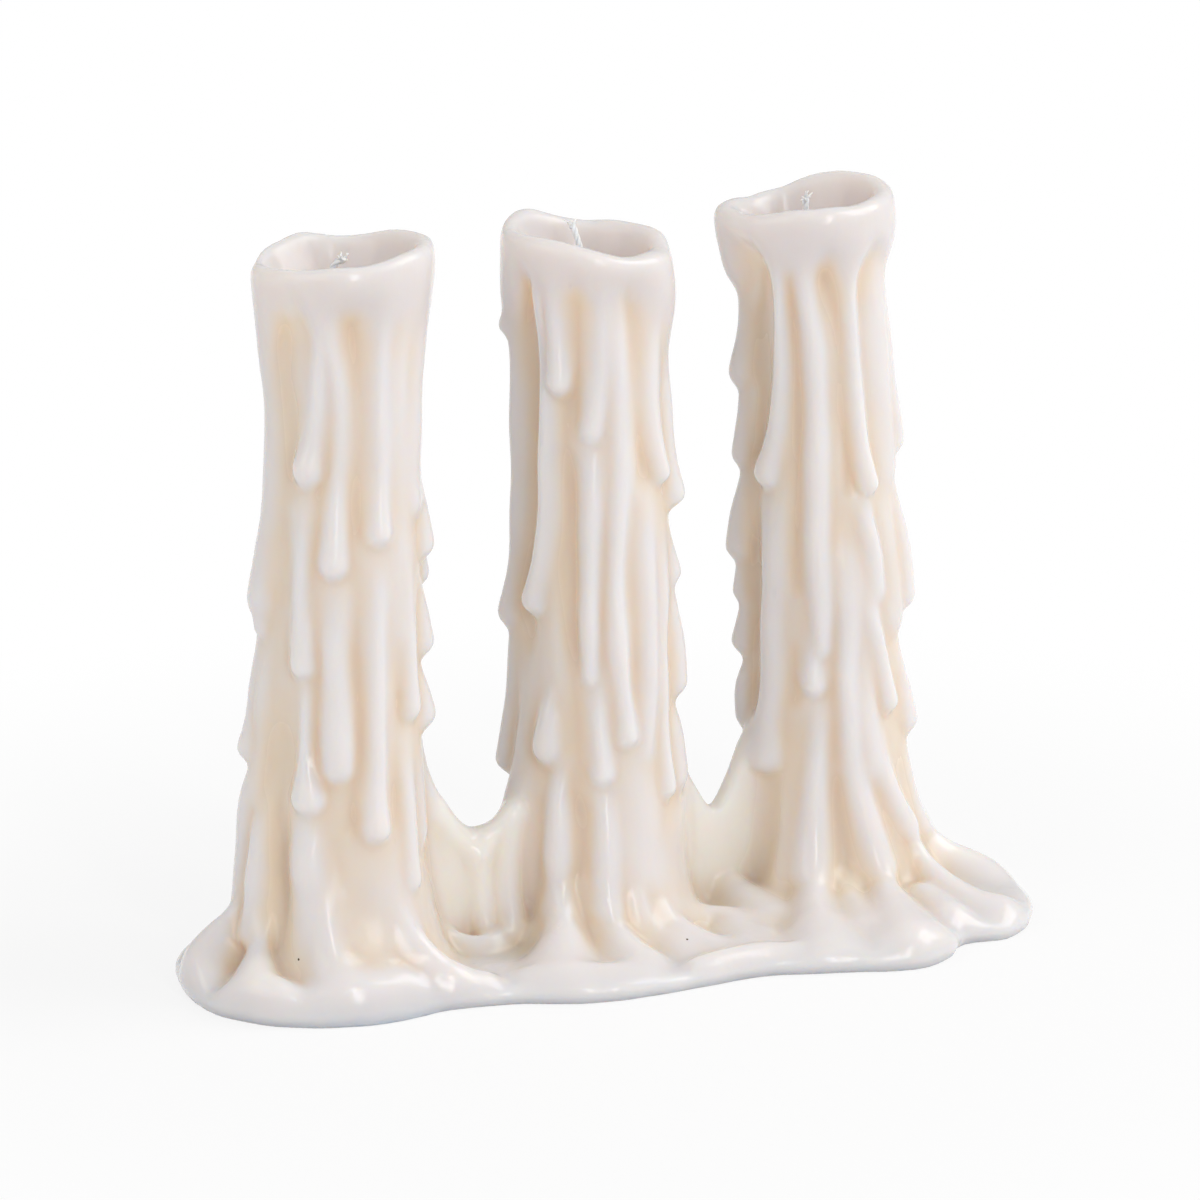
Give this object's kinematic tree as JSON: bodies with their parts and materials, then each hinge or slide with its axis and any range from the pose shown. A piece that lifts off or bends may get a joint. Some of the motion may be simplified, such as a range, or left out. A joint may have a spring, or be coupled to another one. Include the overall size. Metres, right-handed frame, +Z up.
{
  "type": "melted candle",
  "caption": "Row of guttered ivory pillar candles melted together on a shared puddle of wax, with runs of wax down their sides, cupped tops and short cotton wicks.",
  "frame": {"origin": "centre of the footprint, on the table", "axes": "+Z up; +X along the row of pillars, from the left one to the right one; -Y is the front, the side with the wider apron of the puddle"},
  "size_m": [0.1957, 0.088, 0.1639],
  "materials": {
    "wax": "satin ivory paraffin wax, slightly translucent",
    "wick": "braided waxed cotton"
  },
  "bodies": {
    "root": {"wax_body": "wax", "wick_left": "wick", "wick_middle": "wick", "wick_right": "wick"}
  },
  "joints": []
}
